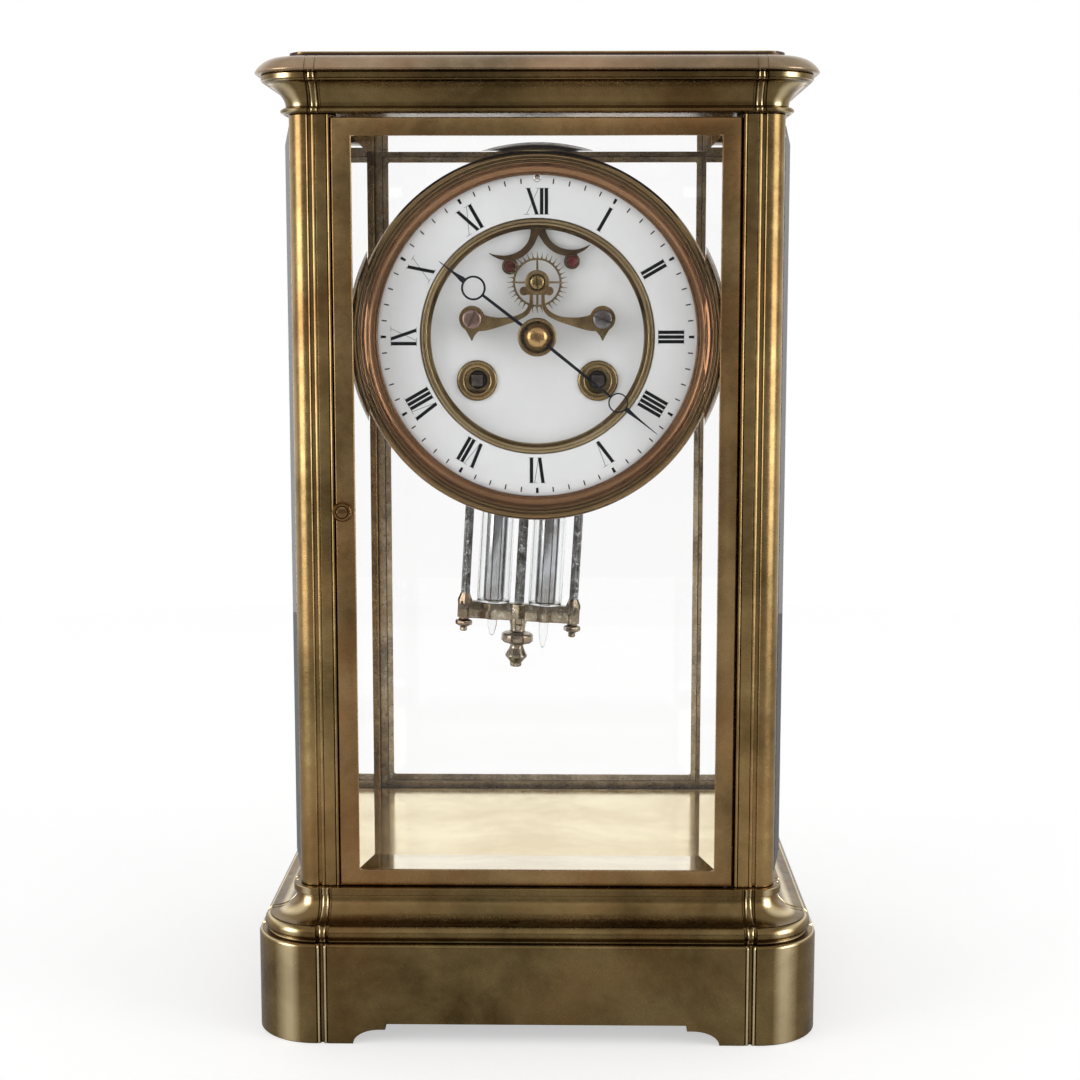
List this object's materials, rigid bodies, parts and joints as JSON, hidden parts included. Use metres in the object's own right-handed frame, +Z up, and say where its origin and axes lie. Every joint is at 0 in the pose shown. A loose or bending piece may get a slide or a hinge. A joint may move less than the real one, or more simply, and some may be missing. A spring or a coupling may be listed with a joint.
{
  "type": "four glass clock",
  "caption": "Free-standing brass case clock with bevelled glass on four sides, hinged front and rear doors, a visible escapement and a twin vial pendulum.",
  "frame": {"origin": "middle of the footprint on the surface that the feet stand on", "axes": "+Z up, -Y towards the viewer of the dial, +X to that viewer's right"},
  "size_m": [0.1998, 0.1722, 0.343],
  "materials": {
    "case_brass": "aged, olive brown patina with bright worn edges",
    "dark_brass": "tarnished dark brown",
    "copper_brass": "turned, copper coloured lacquer",
    "bright_brass": "polished",
    "movement_brass": "grained",
    "enamel": "white vitreous enamel",
    "blued_steel": "blued almost to black",
    "steel": "satin",
    "ruby": "polished red stone",
    "clear_glass": "clear, bevelled",
    "vial_glass": "clear tube with a silvery filling",
    "pendulum_metal": "worn, grey brown",
    "bell_metal": "polished"
  },
  "bodies": {
    "case": {"plinth": "case_brass", "base_moulding": "case_brass", "floor_plate": "bright_brass", "post_front_left": "case_brass", "post_front_right": "case_brass", "post_rear_left": "case_brass", "post_rear_right": "case_brass", "cornice": "case_brass", "cap_moulding": "case_brass", "top_panel": "dark_brass", "side_glass_left": "clear_glass", "side_glass_right": "clear_glass", "front_hinge_pin_lower": "steel", "front_hinge_pin_upper": "steel", "rear_hinge_pin_lower": "steel", "rear_hinge_pin_upper": "steel", "bezel": "copper_brass", "chapter_ring": "enamel", "sight_ring": "case_brass", "dial_centre": "enamel", "winding_ferrule_left": "bright_brass", "winding_ferrule_right": "bright_brass", "front_plate": "movement_brass", "back_plate": "movement_brass", "movement_bracket_left": "case_brass", "movement_bracket_right": "case_brass", "escape_bridge": "case_brass", "bridge_screw_left": "steel", "bridge_screw_right": "steel", "pendulum_cock": "movement_brass", "bell": "bell_metal"},
    "front_door": {"front_door_frame": "case_brass", "front_glass": "clear_glass"},
    "front_catch": {"front_catch": "copper_brass"},
    "rear_door": {"rear_door_frame": "case_brass", "rear_glass": "clear_glass"},
    "rear_catch": {"rear_catch": "copper_brass"},
    "minute_hand": {"minute_hand": "blued_steel", "hand_nut": "bright_brass", "cannon_pinion": "steel"},
    "hour_hand": {"hour_hand": "blued_steel", "hour_wheel": "movement_brass"},
    "minute_wheel": {"minute_wheel": "movement_brass"},
    "going_barrel": {"going_barrel": "movement_brass"},
    "intermediate_wheel": {"intermediate_wheel": "movement_brass"},
    "centre_wheel": {"centre_wheel": "movement_brass"},
    "third_wheel": {"third_wheel": "movement_brass"},
    "escape_wheel": {"escape_wheel": "bright_brass"},
    "going_winding": {"going_winding_arbor": "steel"},
    "strike_barrel": {"strike_barrel": "movement_brass"},
    "strike_winding": {"strike_winding_arbor": "steel"},
    "regulator": {"regulator_arbor": "steel"},
    "anchor": {"anchor": "case_brass", "pallet_stone_left": "ruby", "pallet_stone_right": "ruby"},
    "pendulum": {"pendulum_rod": "pendulum_metal", "pendulum_frame": "pendulum_metal", "vial_left": "vial_glass", "vial_right": "vial_glass"},
    "hammer": {"hammer": "steel"}
  },
  "joints": [
    {"name": "front_door_swing", "type": "hinge", "parent": "case", "child": "front_door", "pos_m": [0.067, -0.0692, 0.053], "axis": [0, 0, 1], "range_deg": [0, 110]},
    {"name": "front_catch_turn", "type": "hinge", "parent": "front_door", "child": "front_catch", "pos_m": [-0.0673, -0.071, 0.1868], "axis": [0, -1, 0], "range_deg": [0, 90]},
    {"name": "rear_door_swing", "type": "hinge", "parent": "case", "child": "rear_door", "pos_m": [-0.067, 0.0692, 0.053], "axis": [0, 0, 1], "range_deg": [0, 110]},
    {"name": "rear_catch_turn", "type": "hinge", "parent": "rear_door", "child": "rear_catch", "pos_m": [0.0673, 0.071, 0.1868], "axis": [0, 1, 0], "range_deg": [0, 90]},
    {"name": "minute_hand_turn", "type": "hinge", "parent": "case", "child": "minute_hand", "pos_m": [0, -0.05, 0.2468], "axis": [0, 1, 0], "continuous": true},
    {"name": "hour_hand_turn", "type": "hinge", "parent": "case", "child": "hour_hand", "pos_m": [0, -0.05, 0.2468], "axis": [0, 1, 0], "continuous": true},
    {"name": "minute_wheel_turn", "type": "hinge", "parent": "case", "child": "minute_wheel", "pos_m": [-0.00983, -0.042, 0.23992], "axis": [0, 1, 0], "continuous": true},
    {"name": "third_wheel_turn", "type": "hinge", "parent": "case", "child": "third_wheel", "pos_m": [0.00849, -0.02, 0.25698], "axis": [0, 1, 0], "continuous": true},
    {"name": "centre_wheel_turn", "type": "hinge", "parent": "case", "child": "centre_wheel", "pos_m": [0, -0.02, 0.2468], "axis": [0, 1, 0], "continuous": true},
    {"name": "intermediate_wheel_turn", "type": "hinge", "parent": "case", "child": "intermediate_wheel", "pos_m": [0.00045, -0.02, 0.23281], "axis": [0, 1, 0], "continuous": true},
    {"name": "going_barrel_turn", "type": "hinge", "parent": "case", "child": "going_barrel", "pos_m": [0.0214, -0.02, 0.2313], "axis": [0, 1, 0], "continuous": true},
    {"name": "escape_wheel_turn", "type": "hinge", "parent": "case", "child": "escape_wheel", "pos_m": [0, -0.02, 0.2658], "axis": [0, 1, 0], "continuous": true},
    {"name": "going_winding_turn", "type": "hinge", "parent": "case", "child": "going_winding", "pos_m": [0.0214, -0.045, 0.2313], "axis": [0, 1, 0], "range_deg": [0, 1800]},
    {"name": "strike_barrel_turn", "type": "hinge", "parent": "case", "child": "strike_barrel", "pos_m": [-0.0214, -0.02, 0.2313], "axis": [0, 1, 0], "continuous": true},
    {"name": "strike_winding_turn", "type": "hinge", "parent": "case", "child": "strike_winding", "pos_m": [-0.0214, -0.045, 0.2313], "axis": [0, 1, 0], "range_deg": [0, 1800]},
    {"name": "regulator_turn", "type": "hinge", "parent": "case", "child": "regulator", "pos_m": [0, -0.05, 0.3018], "axis": [0, 1, 0], "range_deg": [-720, 720]},
    {"name": "pendulum_swing", "type": "hinge", "parent": "case", "child": "pendulum", "pos_m": [0, 0.02, 0.2868], "axis": [0, 1, 0], "range_deg": [-7.8, 1.2]},
    {"name": "anchor_swing", "type": "hinge", "parent": "case", "child": "anchor", "pos_m": [0, -0.05, 0.2868], "axis": [0, 1, 0], "range_deg": [-7.8, 1.2]},
    {"name": "hammer_lift", "type": "hinge", "parent": "case", "child": "hammer", "pos_m": [-0.032, 0.04, 0.2628], "axis": [0, 1, 0], "range_deg": [0, 25], "stiffness_Nm_per_rad": 0.01, "springref_deg": -8.59}
  ],
  "couplings": [
    {"joint": "hour_hand_turn", "follows": "minute_hand_turn", "ratio": 0.083333},
    {"joint": "minute_wheel_turn", "follows": "minute_hand_turn", "ratio": -0.33333},
    {"joint": "centre_wheel_turn", "follows": "third_wheel_turn", "ratio": -0.083333},
    {"joint": "intermediate_wheel_turn", "follows": "third_wheel_turn", "ratio": 0.013889},
    {"joint": "going_barrel_turn", "follows": "third_wheel_turn", "ratio": -0.0023148},
    {"joint": "escape_wheel_turn", "follows": "third_wheel_turn", "ratio": -11},
    {"joint": "anchor_swing", "follows": "pendulum_swing", "ratio": 1}
  ]
}
